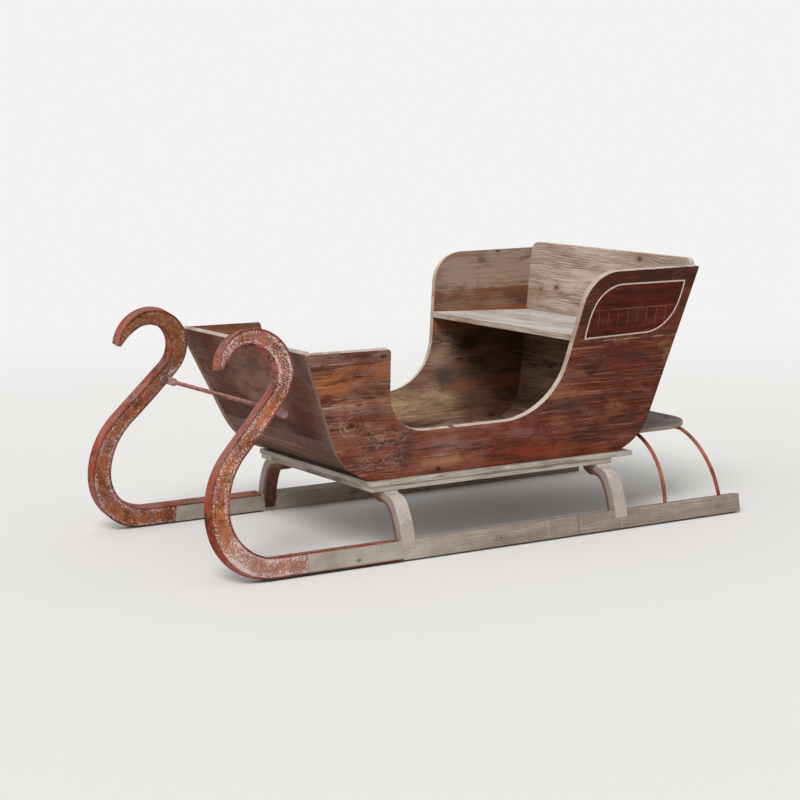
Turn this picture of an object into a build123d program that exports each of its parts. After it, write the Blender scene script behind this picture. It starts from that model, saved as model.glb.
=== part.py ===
from build123d import *
from math import atan2, cos, radians, sin, tan
import os

os.makedirs("parts", exist_ok=True)

# A one-seat horse-drawn sleigh of reclaimed boards on two wooden runners with steel swan necks.
# Millimetres. X runs forward from the tail of the runners, Y to the sleigh's left, Z up from the
# ground. Every piece is drawn there and moved back by half the overall length as it is written.

# Runners: the wooden beams lean inwards and stand on their inner lower corner
track_inner = 456.0        # half the distance between the inner lower corners
cant = 9.0                 # degrees that each runner and its neck lean inwards
neck_clearance = 25.0      # from the dash's top edge forward to the front end of the beams
beam_width = 44.0
beam_height = 62.0
strap_width = 47.0
strap_thick = 5.0

# Swan neck: (x, z) where one arc or straight run hands over to the next, in the runner's plane,
# with x from the front end of the beam
plate_thick = 3.0
plate_recess = 2.5         # side plates lie this far inside the straps' edges
neck_front = [
    (123.0, 0.0),          # the sole leaves the ground
    (315.0, 161.0),
    (319.0, 209.0),        # belly, the foremost point of the sleigh
    (240.0, 402.0),        # shank begins
    (75.0, 571.0),         # shank ends
    (131.0, 722.5),        # crown of the hook, underside
    (179.0, 710.0),
    (234.0, 653.0),        # lip
]
neck_rear_height = beam_height + strap_thick
neck_rear = [
    (106.0, neck_rear_height),
    (253.0, 214.0),
    (180.0, 387.0),
    (22.0, 553.0),
    (97.0, 771.5),         # crown of the hook, top
    (246.0, 655.0),
]

# Struts: sawn brackets that carry the platform; x of the rear face
strut_width = 50.0
front_strut_x = 1340.0
rear_strut_x = 493.0
cap_clearance = 12.0           # the neck's top strap ends this far ahead of the front strut
strut_lap = 26.0           # depth of the foot in the runner
strut_knee = (447.0, 176.0)    # (y, z) on the outer curve
strut_crown = (394.0, 203.0)   # (y, z) on the outer curve, near its top
strut_throat = (417.0, 145.0)  # (y, z) on the hollow curve
strut_arch = (352.0, 175.0)    # (y, z) on the hollow curve
strut_nose = (308.0, 189.0)    # (y, z) of its inner lower corner
strut_top_y = 386.0            # outer corner under the platform

# Iron straps on the hollow side of the struts
iron_width = 38.0
iron_thick = 5.0
iron_drop = 46.0           # how far the foot reaches down the runner's inner face

# Platform
platform_top = 244.0
deck_thick = 16.0
deck_half_width = 385.0
deck_boards = 5
deck_gap = 3.0
deck_end_width = 70.0      # boards that run across and close the ends of the lengthwise ones
deck_tail_x = 388.0
deck_nose_x = 1437.0
rail_thick = 18.0
rail_width = 72.0
rail_tail_x = 475.0
rail_setback = 4.0         # rails and battens lie this far inside the deck's edge
batten_width = 92.0

# Body: two splayed side panels with boards bent round between them
splay = 11.6               # degrees that each side leans outwards
side_foot_y = 364.5        # outer face of the side panel at its lower edge
side_thick = 22.0
side_corners = [           # (x, z, radius of the corner)
    (1707.0, 683.0, 5.0),      # dash, front top
    (1400.0, 679.0, 12.0),     # dash, rear top
    (1373.0, 397.0, 150.0),    # doorway, front
    (736.0, 397.0, 235.0),     # doorway, rear
    (640.0, 881.0, 130.0),     # arm
    (191.0, 881.0, 6.0),       # rear top
    (354.5, platform_top, 168.0),
    (1519.0, platform_top, 225.0),
]
leaf_upper = [             # (x, z) along the routed leaf, from its rear tip over the top
    (247.0, 834.0),
    (505.0, 836.0),
    (589.0, 803.0),
    (622.0, 750.0),
    (640.0, 657.0),        # front tip
]
leaf_lower = [             # and back again under it
    leaf_upper[-1],
    (390.0, 662.0),
    (302.0, 697.0),
    (262.0, 760.0),
    leaf_upper[0],
]
groove_width = 5.0
groove_depth = 2.5
board_thick = 20.0
board_gap = 0.6
board_inset = 2.0          # boards lie this far inside the side panels' edges
bend_boards = 4            # narrow boards round each bend
floor_boards = 7
dash_boards = 3
back_boards = 3            # below the seat, and as many above it

# Seat and backrest
seat_top = 674.0           # at its front edge
seat_rake = 2.3            # degrees that it falls to the rear
seat_thick = 20.0
seat_front_x = 692.0
seat_boards = 3
backrest_top = 906.0
backrest_round = 30.0
backrest_spare = 6.0       # the top board is cut from this much more height

# Footboard on two hoops of round bar behind the body
foot_top = 300.0
foot_thick = 13.0
foot_tail_x = 14.0
foot_nose_x = 345.0
foot_half_width = 315.0
foot_round = 185.0
foot_hole_radius = 5.0
foot_hole_x = 64.0
foot_hole_y = 164.0
hoop_radius = 6.5
hoop_feet = (72.0, 312.0)  # x of the rear and the front hoop on the runners
hoop_lean = 5.7            # degrees that the hoops lean towards each other
hoop_seat = 23.5           # where a hoop stands across the runner's top
hoop_sunk = 8.0            # how deep it is let into the runner
hoop_knee = (290.0, 276.5)     # (y, z) where the bow turns in under the footboard

# Crossbar between the necks
bar_radius = 7.0
bar_ahead = 36.0           # ahead of the beam's front end
bar_z = 508.0
tab_thick = 6.0
tab_width = 26.0
tab_hole_radius = 5.0
left_tab = (37.0, 27.0, 31.0)    # bolt ahead of the bar, tail behind it, rise in degrees
right_tab = (38.0, 1.0, 22.0)

beam_length = side_corners[0][0] + neck_clearance
overall_length = beam_length + max(x for x, z in neck_front)
half_length = overall_length / 2


def unit(vector):
    size = (vector[0] ** 2 + vector[1] ** 2) ** 0.5
    return (vector[0] / size, vector[1] / size)


def run_through(points, heading):
    """Tangent arcs through points: each point with the direction of travel there."""
    run = [(points[0], unit(heading))]
    for point in points[1:]:
        last, ahead = run[-1]
        chord = (point[0] - last[0], point[1] - last[1])
        along = chord[0] * ahead[0] + chord[1] * ahead[1]
        twice = 2 * along / (chord[0] ** 2 + chord[1] ** 2)
        run.append((point, unit((twice * chord[0] - ahead[0], twice * chord[1] - ahead[1]))))
    return run


def shifted(run, left):
    """The points of a run moved sideways, to the left of travel."""
    return [(x - left * uy, y + left * ux) for (x, y), (ux, uy) in run]


def run_edges(run, left=0.0):
    """Edges of a run, moved to the left of travel."""
    spots = shifted(run, left)
    edges = []
    for index in range(len(spots) - 1):
        start, end, ahead = spots[index], spots[index + 1], run[index][1]
        chord = unit((end[0] - start[0], end[1] - start[1]))
        if abs(chord[0] * ahead[1] - chord[1] * ahead[0]) < 1e-6:
            edges.append(Line(start, end))
        else:
            edges.append(TangentArc(start, end, tangent=ahead))
    return edges


def band(run_a, left_a, run_b, left_b):
    """Face between two runs that travel the same way."""
    a, b = shifted(run_a, left_a), shifted(run_b, left_b)
    edges = run_edges(run_a, left_a) + run_edges(run_b, left_b)
    edges += [Line(a[0], b[0]), Line(a[-1], b[-1])]
    return make_face(edges)


def upright(face, y_low, y_high):
    """Solid from a face drawn in x and z, between two y values."""
    plane = Plane(origin=(0, y_high, 0), x_dir=(1, 0, 0), z_dir=(0, -1, 0))
    return extrude(plane * face, amount=y_high - y_low)


def across(face, x_low, x_high):
    """Solid from a face drawn in y and z, between two x values."""
    plane = Plane(origin=(x_low, 0, 0), x_dir=(0, 1, 0), z_dir=(1, 0, 0))
    return extrude(plane * face, amount=x_high - x_low)


def canted(shape):
    """From the runner's own upright plane to its leaning place on the left side."""
    return Pos(0, track_inner, 0) * Rot(cant, 0, 0) * shape


def canted_point(y, z):
    """The same for a point, as (y, z)."""
    lean = radians(cant)
    return (track_inner + y * cos(lean) - z * sin(lean), y * sin(lean) + z * cos(lean))


def write(name, shape):
    export_step(Pos(-half_length, 0, 0) * shape, f"parts/{name}.step")


def write_pair(name, shape):
    write(f"{name}_left", shape)
    write(f"{name}_right", mirror(shape, about=Plane.XZ))


def together(solids):
    return Compound(children=list(solids))


lean_up = (-sin(radians(cant)), cos(radians(cant)))


# Hoops: round bar from one runner's top, bent in under the footboard, to the other's
def hoop(foot_x, lean):
    start_y, start_z = canted_point(hoop_seat, beam_height)
    rise = cos(radians(lean))
    crown = (foot_top - foot_thick - hoop_radius - start_z) / rise
    root = (start_y - hoop_sunk * lean_up[0], -hoop_sunk * lean_up[1])
    (start, ahead), (knee, turned) = run_through(
        [(start_y, 0), (hoop_knee[0], (hoop_knee[1] - start_z) / rise)], lean_up)
    flat = (knee[0] - (crown - knee[1]) * turned[1] / (1 + turned[0]), crown)
    plane = Plane(origin=(foot_x, 0, start_z), x_dir=(0, 1, 0), z_dir=(rise, 0, -sin(radians(lean))))
    path = plane * Wire([
        Line(root, start),
        TangentArc(start, knee, tangent=ahead),
        TangentArc(knee, flat, tangent=turned),
        Line(flat, (-flat[0], crown)),
        TangentArc((-flat[0], crown), (-knee[0], knee[1]), tangent=(-1, 0)),
        TangentArc((-knee[0], knee[1]), (-start[0], start[1]), tangent=(turned[0], -turned[1])),
        Line((-start[0], start[1]), (-root[0], root[1])),
    ])
    return sweep(Plane(origin=path @ 0, z_dir=path % 0) * Circle(hoop_radius), path=path)


rear_hoop = hoop(hoop_feet[0], hoop_lean)
front_hoop = hoop(hoop_feet[1], -hoop_lean)
write("rear_hoop", rear_hoop)
write("front_hoop", front_hoop)


# Runner beam, with a notch for each strut's foot and a shallow bed for the sole strap
def neck_run(tail, points):
    return run_through([tail] + [(beam_length + x, z) for x, z in points], (1, 0))


shoe_tail_x = front_strut_x + strut_width
front_run = neck_run((shoe_tail_x, 0), neck_front)
rear_run = neck_run((shoe_tail_x + cap_clearance, neck_rear_height), neck_rear)
beam_y = (strap_width - beam_width) / 2


def beam():
    outline = make_face(Polyline(
        (0, 0), (shoe_tail_x, 0), (shoe_tail_x, strap_thick), (beam_length, strap_thick),
        (beam_length, beam_height), (0, beam_height), close=True))
    solid = upright(outline, beam_y, beam_y + beam_width)
    for x in (rear_strut_x, front_strut_x):
        notch = Box(strut_width, 2 * strap_width, 2 * strut_lap, align=(Align.MIN, Align.CENTER, Align.MIN))
        solid -= Pos(x, 0, beam_height - strut_lap) * notch
    solid = canted(solid)
    return solid - rear_hoop - front_hoop


def neck():
    """The two side plates of the swan neck, between its straps, on both sides of a hollow."""
    face = band(front_run[1:], strap_thick, rear_run[1:], -strap_thick)
    lower = make_face(Polyline(
        (beam_length, strap_thick), (front_run[1][0][0], strap_thick),
        (rear_run[1][0][0], beam_height), (beam_length, beam_height), close=True))
    plates = []
    for y in (plate_recess, strap_width - plate_recess - plate_thick):
        plate = upright(face, y, y + plate_thick) + upright(lower, y, y + plate_thick)
        plates.append(canted(plate))
    return together(plates)


def front_strap():
    return canted(upright(band(front_run, 0, front_run, strap_thick), 0, strap_width))


def rear_strap():
    return canted(upright(band(rear_run, 0, rear_run, -strap_thick), 0, strap_width))


write_pair("runner_beam", beam())
write_pair("neck_plates", neck())
write_pair("neck_front_strap", front_strap())
write_pair("neck_rear_strap", rear_strap())

# Struts and their iron straps
rail_under = platform_top - deck_thick - rail_thick
beam_outer = beam_y + beam_width
foot_out = canted_point(beam_outer, beam_height - strut_lap)
foot_in = canted_point(beam_y, beam_height - strut_lap)
hollow = run_through(
    [canted_point(beam_y, beam_height), strut_throat, strut_arch, strut_nose], lean_up)
back = run_through(
    [foot_out, canted_point(beam_outer, beam_height), strut_knee, strut_crown], lean_up)


def strut(x):
    top_out = (strut_top_y, rail_under)
    top_in = (strut_nose[0], rail_under)
    edges = run_edges(back) + run_edges(hollow)
    edges += [Line(strut_crown, top_out), Line(top_out, top_in), Line(top_in, strut_nose)]
    edges += [Line(hollow[0][0], foot_in), Line(foot_in, foot_out)]
    return across(make_face(edges), x, x + strut_width)


def iron(x):
    toe = canted_point(beam_y, beam_height - iron_drop)
    path = run_through([toe] + [point for point, ahead in hollow], lean_up)
    start = x + (strut_width - iron_width) / 2
    return across(band(path, 0, path, iron_thick), start, start + iron_width)


for place, x in (("front", front_strut_x), ("rear", rear_strut_x)):
    write_pair(f"{place}_strut", strut(x))
    write_pair(f"{place}_strut_iron", iron(x))


# Platform: lengthwise deck boards between two end boards, on two rails and two battens
def deck():
    pitch = (2 * deck_half_width + deck_gap) / deck_boards
    inner_tail, inner_nose = deck_tail_x + deck_end_width, deck_nose_x - deck_end_width
    boards = []
    for index in range(deck_boards):
        place = Pos(inner_tail + board_gap, index * pitch - deck_half_width, platform_top)
        corner = (Align.MIN, Align.MIN, Align.MAX)
        length = inner_nose - inner_tail - 2 * board_gap
        boards.append(place * Box(length, pitch - deck_gap, deck_thick, align=corner))
    for x in (deck_tail_x, inner_nose):
        end = Box(deck_end_width, 2 * deck_half_width, deck_thick,
                  align=(Align.MIN, Align.CENTER, Align.MAX))
        boards.append(Pos(x, 0, platform_top) * end)
    return together(boards)


def rail():
    length = deck_nose_x - rail_setback - rail_tail_x
    board = Box(length, rail_width, rail_thick, align=(Align.MIN, Align.MAX, Align.MIN))
    return Pos(rail_tail_x, deck_half_width - rail_setback, rail_under) * board


def batten(x):
    width = 2 * (deck_half_width - rail_setback - rail_width)
    board = Box(batten_width, width, rail_thick, align=(Align.MIN, Align.CENTER, Align.MIN))
    return Pos(x, 0, rail_under) * board


write("deck_boards", deck())
write_pair("deck_rail", rail())
write("front_batten", batten(deck_nose_x - rail_setback - batten_width))
write("rear_batten", batten(rear_strut_x))

# Body: side panels
lean_out = radians(splay)


def up_side(z):
    """Height above the platform, measured along a leaning side."""
    return (z - platform_top) / cos(lean_out)


def leaf_groove():
    """The line that a round router bit leaves along the leaf, in the side's own plane."""
    half = groove_width / 2
    face = Sketch()
    for points in (leaf_upper, leaf_lower):
        spots = [(x, up_side(z)) for x, z in points]
        heading = (spots[1][0] - spots[0][0], spots[1][1] - spots[0][1])
        run = run_through(spots, heading)
        face += band(run, half, run, -half)
        face += Pos(*spots[0]) * Circle(half)
    return upright(face, -groove_depth, groove_depth)


def side_panel():
    spill = side_thick * sin(lean_out)
    corners = []
    for x, z, radius in side_corners:
        corners.append((x, up_side(z if z > platform_top else z - spill)))
    radii = [radius for x, z, radius in side_corners]
    face = make_face(FilletPolyline(*corners, radius=radii, close=True))
    panel = upright(face, -side_thick, 0) - leaf_groove()
    panel = Pos(0, side_foot_y, platform_top) * Rot(-splay, 0, 0) * panel
    return panel - Box(4 * half_length, 4 * side_foot_y, 2 * platform_top)


write_pair("side_panel", side_panel())


# Body: boards between the sides, laid along the side panels' outline
def inner_half_width(z):
    return side_foot_y + (z - platform_top) * sin(lean_out) / cos(lean_out) - side_thick / cos(lean_out)


def between_sides():
    """The space between the two sides, with the backrest's round shoulders."""
    low, high = inner_half_width(platform_top), inner_half_width(backrest_top)
    face = make_face(Polyline(
        (-low, platform_top), (low, platform_top), (high, backrest_top), (-high, backrest_top), close=True))
    face = fillet(face.vertices().sort_by(Axis.Y)[-2:], backrest_round)
    return across(face, 0, overall_length)


dash_top, arm_rear, tail_foot, dash_foot = side_corners[0], *side_corners[5:]


def rounded(before, corner, after, count):
    """Stations round a corner of the side outline: (point, outward direction)."""
    u = unit((corner[0] - before[0], corner[1] - before[1]))
    v = unit((after[0] - corner[0], after[1] - corner[1]))
    turn = atan2(u[0] * v[1] - u[1] * v[0], u[0] * v[0] + u[1] * v[1])
    reach = corner[2] * tan(abs(turn) / 2)
    side = 1 if turn > 0 else -1
    start = (corner[0] - u[0] * reach, corner[1] - u[1] * reach)
    centre = (start[0] - side * u[1] * corner[2], start[1] + side * u[0] * corner[2])
    stations = []
    for step in range(count + 1):
        angle = turn * step / count
        out = (side * u[1] * cos(angle) + side * u[0] * sin(angle),
               side * u[1] * sin(angle) - side * u[0] * cos(angle))
        stations.append(((centre[0] + out[0] * corner[2], centre[1] + out[1] * corner[2]), out))
    return stations


def straight(start, end, count):
    """Stations from one to the other, with the outward direction of the first."""
    (a, out), (b, other) = start, end
    stations = []
    for step in range(count + 1):
        share = step / count
        stations.append(((a[0] + share * (b[0] - a[0]), a[1] + share * (b[1] - a[1])), out))
    return stations


def cross_board(first, second):
    """One board between two stations, trimmed to the sides."""
    (a, out_a), (b, out_b) = first, second
    along = unit((b[0] - a[0], b[1] - a[1]))
    half = board_gap / 2
    corners = []
    for point, out, step, depth in (
            (a, out_a, half, board_inset), (b, out_b, -half, board_inset),
            (b, out_b, -half, board_inset + board_thick), (a, out_a, half, board_inset + board_thick)):
        corners.append((point[0] + along[0] * step - out[0] * depth,
                        point[1] + along[1] * step - out[1] * depth))
    solid = upright(make_face(Polyline(*corners, close=True)), -2 * side_foot_y, 2 * side_foot_y)
    return solid & room


def cross_boards(stations):
    return together([cross_board(a, b) for a, b in zip(stations, stations[1:])])


room = between_sides()
front_bend = rounded(dash_top, dash_foot, tail_foot, bend_boards)
rear_bend = rounded(dash_foot, tail_foot, arm_rear, bend_boards)
dash_face, back_face = front_bend[0][1], rear_bend[-1][1]


def on_back(z):
    """The station at a height on the rear edge of the side."""
    share = (z - tail_foot[1]) / (arm_rear[1] - tail_foot[1])
    return ((tail_foot[0] + share * (arm_rear[0] - tail_foot[0]), z), back_face)


# Seat line: from its front edge down to the rear
seat_run = (-cos(radians(seat_rake)), -sin(radians(seat_rake)))
seat_front = (seat_front_x, seat_top)
seat_front_under = (seat_front_x - seat_thick * seat_run[1], seat_top + seat_thick * seat_run[0])
inside_back = (arm_rear[0] - back_face[0] * (board_inset + board_thick),
               arm_rear[1] - back_face[1] * (board_inset + board_thick))


def reach_to_back(start):
    """Distance from a point along the seat's slope to the inside of the backrest."""
    gap_x, gap_z = inside_back[0] - start[0], inside_back[1] - start[1]
    off = gap_x * back_face[0] + gap_z * back_face[1]
    return off / (seat_run[0] * back_face[0] + seat_run[1] * back_face[1])


def along_seat(start, distance):
    return (start[0] + distance * seat_run[0], start[1] + distance * seat_run[1])


def seat():
    depths = [reach_to_back(seat_front) - board_gap, reach_to_back(seat_front_under) - board_gap]
    pitch = (depths[0] + board_gap) / seat_boards
    boards = []
    for index in range(seat_boards):
        start = index * pitch
        ends = depths if index == seat_boards - 1 else [start + pitch - board_gap] * 2
        face = make_face(Polyline(
            along_seat(seat_front, start), along_seat(seat_front, ends[0]),
            along_seat(seat_front_under, ends[1]), along_seat(seat_front_under, start), close=True))
        boards.append(upright(face, -2 * side_foot_y, 2 * side_foot_y) & room)
    return together(boards)


seat_joint = on_back(along_seat(seat_front_under, reach_to_back(seat_front_under))[1])
back_top = on_back(backrest_top + backrest_spare)
write("seat_boards", seat())
for name, stations in (
        ("dash_boards", straight((dash_top[:2], dash_face), front_bend[0], dash_boards)),
        ("front_bend_boards", front_bend),
        ("floor_boards", straight(front_bend[-1], rear_bend[0], floor_boards)),
        ("rear_bend_boards", rear_bend),
        ("back_boards", straight(rear_bend[-1], seat_joint, back_boards)),
        ("backrest_boards", straight(seat_joint, back_top, back_boards))):
    write(name, cross_boards(stations))


# Footboard
def footboard():
    length = foot_nose_x - foot_tail_x
    face = Pos((foot_nose_x + foot_tail_x) / 2, 0) * Rectangle(length, 2 * foot_half_width)
    tail_corners = face.vertices().sort_by(Axis.X)[:2]
    face = fillet(tail_corners, foot_round)
    for side in (-1, 1):
        face -= Pos(foot_hole_x, side * foot_hole_y) * Circle(foot_hole_radius)
    return extrude(Pos(0, 0, foot_top - foot_thick) * face, amount=foot_thick)


write("footboard", footboard())


# Crossbar: a round bar with a flattened tab at each end, bolted to the necks' inner faces
bar_x = beam_length + bar_ahead
def tab(bolt_reach, tail_reach, rise):
    """Tab from the bar to its bolt in a neck's own plane, with a tail past the bar."""
    face = Pos((bolt_reach - tail_reach) / 2, 0) * SlotCenterToCenter(bolt_reach + tail_reach, tab_width)
    face -= Pos(bolt_reach, 0) * Circle(tab_hole_radius)
    height = bar_z / cos(radians(cant))
    return canted(upright(Pos(bar_x, height) * Rot(0, 0, rise) * face, -tab_thick, 0))


def crossbar():
    reach = canted_point(-tab_thick / 2, bar_z / cos(radians(cant)))[0]
    bar = Pos(bar_x, 0, bar_z) * Rot(90, 0, 0) * Cylinder(bar_radius, 2 * reach)
    return bar + tab(*left_tab) + mirror(tab(*right_tab), about=Plane.XZ)


write("crossbar", crossbar())
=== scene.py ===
from math import cos, radians, sin, tan

import bmesh
import bpy
from mathutils import Matrix, Vector
from mathutils.bvhtree import BVHTree
from mathutils.geometry import intersect_point_line


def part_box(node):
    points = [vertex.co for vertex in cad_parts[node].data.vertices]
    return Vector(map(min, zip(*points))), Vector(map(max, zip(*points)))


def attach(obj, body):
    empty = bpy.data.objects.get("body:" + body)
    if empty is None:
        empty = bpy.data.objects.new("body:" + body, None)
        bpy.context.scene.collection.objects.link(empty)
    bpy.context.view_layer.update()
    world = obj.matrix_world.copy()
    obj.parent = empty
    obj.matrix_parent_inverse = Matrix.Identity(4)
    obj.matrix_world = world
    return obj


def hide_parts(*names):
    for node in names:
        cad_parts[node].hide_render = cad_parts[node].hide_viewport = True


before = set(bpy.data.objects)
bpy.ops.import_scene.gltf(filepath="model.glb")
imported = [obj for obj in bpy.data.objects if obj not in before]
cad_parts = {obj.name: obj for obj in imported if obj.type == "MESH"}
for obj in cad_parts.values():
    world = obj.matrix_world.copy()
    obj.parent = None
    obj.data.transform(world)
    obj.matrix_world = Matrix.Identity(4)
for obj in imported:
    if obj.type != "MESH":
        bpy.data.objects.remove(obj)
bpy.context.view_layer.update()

bl_info = {
    "name": "Rustic Sleigh",
    "version": (1, 0, 0),
    "blender": (4, 5, 0),
    "location": "View3D > Sidebar > Sleigh",
    "description": "Dresses an open sleigh of reclaimed boards on steel-necked runners",
    "category": "Object",
}

# The sides, in metres: they lean outwards from the platform
SPLAY = radians(11.6)
SIDE_FOOT_Y = 0.3645
PLATFORM_TOP = 0.244
JOINTS = {1: (0.343, 0.502, 0.644), -1: (0.343, 0.502, 0.745)}   # heights of the planks' joints
LEAF = ((-0.79, -0.37), (0.655, 0.85))       # x and z that the routed leaf lies between
GROOVE_DEPTH = 0.0025
GROOVE_PLAY = 0.0003                         # how exactly a face's depth in the groove is read
BOARD_STEP = 0.618                           # change of a board's number from one to the next

# The runners, the steel and their fixings
CANT = radians(9.0)                          # lean of the runners and the necks
BEAM_INNER_Y = 0.456                         # foot of the beams' inner faces
IRON_THICK = 0.005
IRON_SCREWS = ((-0.009, 0.028), (0.009, 0.028), (0.0, 0.054))    # along the beam and up it
STRAP_SCREW = (0.018, 0.067, 0.0235)         # from the strap's end: ahead, up and outwards
BAR = (0.7425, 0.508)                        # x and z of the crossbar
TABS = {1: (0.037, radians(31.0)), -1: (0.038, radians(22.0))}    # bolt: reach and rise
TAB_THICK = 0.006
PLATFORM_ROUND = 0.0018                      # worn edges of the platform's boards
STRUT_ROUND = 0.0012
RIM_CELL = 0.012                             # size of the small faces that can carry a value
RIM_REACH = 0.026                            # how far in from a rim the rust is marked

# How the boards are read and cut
MERGE = 0.00001                              # corners nearer than this are one
PLANK_MERGE = 0.000001                       # the same where a side is cut into planks
FLAT = radians(0.4)                          # faces that turn less than this are one
SHARP = radians(28)                          # edges that turn more than this are worn round
SAME_WAY = 0.9                               # cosine from which two normals are one direction
NARROW = 0.7                                 # cosine to the broad face that narrow ones stay below
ASIDE = 0.012                                # how far aside the middles of facing sides may lie
RIM_FACE = 0.01                              # a plate's broad faces are larger, in square metres

# Places of single marks; the knots have their half width too
BIG_KNOT = (0.495, 0.44)                     # x and z on a side
BACKREST_KNOTS = ((-0.263, 0.75, 0.016), (-0.36, 0.737, 0.012), (0.193, 0.885, 0.018))
RUNNER_KNOTS = ((-0.011, 0.033, 0.022), (-0.931, 0.034, 0.018), (0.527, 0.027, 0.009))
HOLE = (-0.9615, 0.164)                      # x and y of the footboard's holes

RELIEF_DEPTH = 0.001
BACKDROP = (0.9, 0.895, 0.885, 1)
FLOOR_TINT = (0.8, 0.79, 0.775)
FLOOR_FADE = (2.6, 6.5)                      # where the floor starts and ends to fade
CAMERA_SHIFT = (-0.0029, -0.0217)


# Sizes and colours to change
class SleighWoodwork(bpy.types.PropertyGroup):
    edge_round: bpy.props.FloatProperty(
        name="Worn edge", description="Radius of the worn edges of the boards",
        default=0.0014, min=0.0002, max=0.004, subtype="DISTANCE", unit="LENGTH")
    near_gap: bpy.props.FloatProperty(
        name="Board gap", description="Widest gap between boards that is closed",
        default=0.0015, min=0.0, max=0.004, subtype="DISTANCE", unit="LENGTH")
    steel_round: bpy.props.FloatProperty(
        name="Steel edge", description="Radius of the edges of the steel strips",
        default=0.0008, min=0.0001, max=0.002, subtype="DISTANCE", unit="LENGTH")


class SleighFixings(bpy.types.PropertyGroup):
    screw_head: bpy.props.FloatProperty(
        name="Screw head", description="Radius of the wood screws' heads",
        default=0.0042, min=0.002, max=0.01, subtype="DISTANCE", unit="LENGTH")
    bolt_head: bpy.props.FloatProperty(
        name="Bolt head", description="Radius of the hexagon heads on the crossbar's ends",
        default=0.0085, min=0.004, max=0.015, subtype="DISTANCE", unit="LENGTH")


class SleighColours(bpy.types.PropertyGroup):
    stain: bpy.props.FloatVectorProperty(
        name="Stain", description="Red-brown stain of the sides",
        default=(0.118, 0.025, 0.011), size=3, min=0, max=1, subtype="COLOR")
    bare: bpy.props.FloatVectorProperty(
        name="Bare wood", description="Freshly cut wood on the edges and in the routed line",
        default=(0.45, 0.35, 0.285), size=3, min=0, max=1, subtype="COLOR")
    rust: bpy.props.FloatVectorProperty(
        name="Rust", description="Main colour of the rusted necks",
        default=(0.34, 0.105, 0.041), size=3, min=0, max=1, subtype="COLOR")


class SleighStage(bpy.types.PropertyGroup):
    azimuth: bpy.props.FloatProperty(
        name="Azimuth", description="Direction of the camera round the sleigh",
        default=radians(148.595), subtype="ANGLE", unit="ROTATION")
    pitch: bpy.props.FloatProperty(
        name="Pitch", description="How far the camera looks down",
        default=radians(8.226), subtype="ANGLE", unit="ROTATION")
    roll: bpy.props.FloatProperty(
        name="Roll", description="Tilt of the camera",
        default=radians(-0.53), subtype="ANGLE", unit="ROTATION")
    place: bpy.props.FloatVectorProperty(
        name="Place", description="Where the camera stands",
        default=(3.787, 6.109, 1.528), size=3, subtype="TRANSLATION", unit="LENGTH")
    lens: bpy.props.FloatProperty(
        name="Lens", description="Focal length on a 36 mm sensor, in millimetres",
        default=95.04, min=10, max=300)
    key: bpy.props.FloatProperty(
        name="Key light", description="Strength of the soft sun at the front",
        default=2.0, min=0, max=20)
    fill: bpy.props.FloatProperty(
        name="Fill", description="Light of the room", default=0.55, min=0, max=2)


# Shader sums
class Tone:
    """A shader socket that takes part in sums: each sign adds its Math node."""

    def __init__(self, nodes, socket):
        self.nodes, self.socket = nodes, socket

    def sum(self, operation, *values):
        return self.nodes.node(
            "ShaderNodeMath", {"operation": operation}, dict(enumerate(values)))

    def __add__(self, other):
        return self.sum("ADD", self, other)

    def __radd__(self, other):
        return self.sum("ADD", other, self)

    def __sub__(self, other):
        return self.sum("SUBTRACT", self, other)

    def __rsub__(self, other):
        return self.sum("SUBTRACT", other, self)

    def __mul__(self, other):
        return self.sum("MULTIPLY", self, other)

    def __rmul__(self, other):
        return self.sum("MULTIPLY", other, self)

    def __truediv__(self, other):
        return self.sum("DIVIDE", self, other)

    def __rtruediv__(self, other):
        return self.sum("DIVIDE", other, self)

    def sine(self):
        return self.sum("SINE", self)

    def size(self):
        return self.sum("ABSOLUTE", self)

    def either(self, other):
        return self.sum("MAXIMUM", self, other)

    def above(self, low, high):
        """0 below low, 1 above high, and smooth from one to the other."""
        return self.nodes.node(
            "ShaderNodeMapRange", {"interpolation_type": "SMOOTHSTEP"},
            {"Value": self, "From Min": low, "From Max": high})

    def below(self, low, high):
        """1 below low, 0 above high, and smooth from one to the other."""
        return 1 - self.above(low, high)


class Nodes:
    """A node tree under way, with one method that makes its nodes."""

    def __init__(self, tree):
        self.tree = tree

    def node(self, kind, settings=None, sockets=None, output=0):
        made = self.tree.nodes.new(kind)
        for name, value in (settings or {}).items():
            if name == "stops":
                stops = made.color_ramp.elements
                while len(stops) < len(value):
                    stops.new(1.0)
                for stop, (position, colour) in zip(stops, value):
                    stop.position, stop.color = position, (*colour, 1)
            else:
                setattr(made, name, value)
        for name, value in (sockets or {}).items():
            if isinstance(value, Tone):
                self.tree.links.new(value.socket, made.inputs[name])
            elif made.inputs[name].type == "RGBA" and len(value) == 3:
                made.inputs[name].default_value = (*value, 1)
            else:
                made.inputs[name].default_value = value
        return Tone(self, made.outputs[output])

    def feed(self, shader, name, value):
        self.tree.links.new(value.socket, self.tree.nodes[shader].inputs[name])


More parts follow.
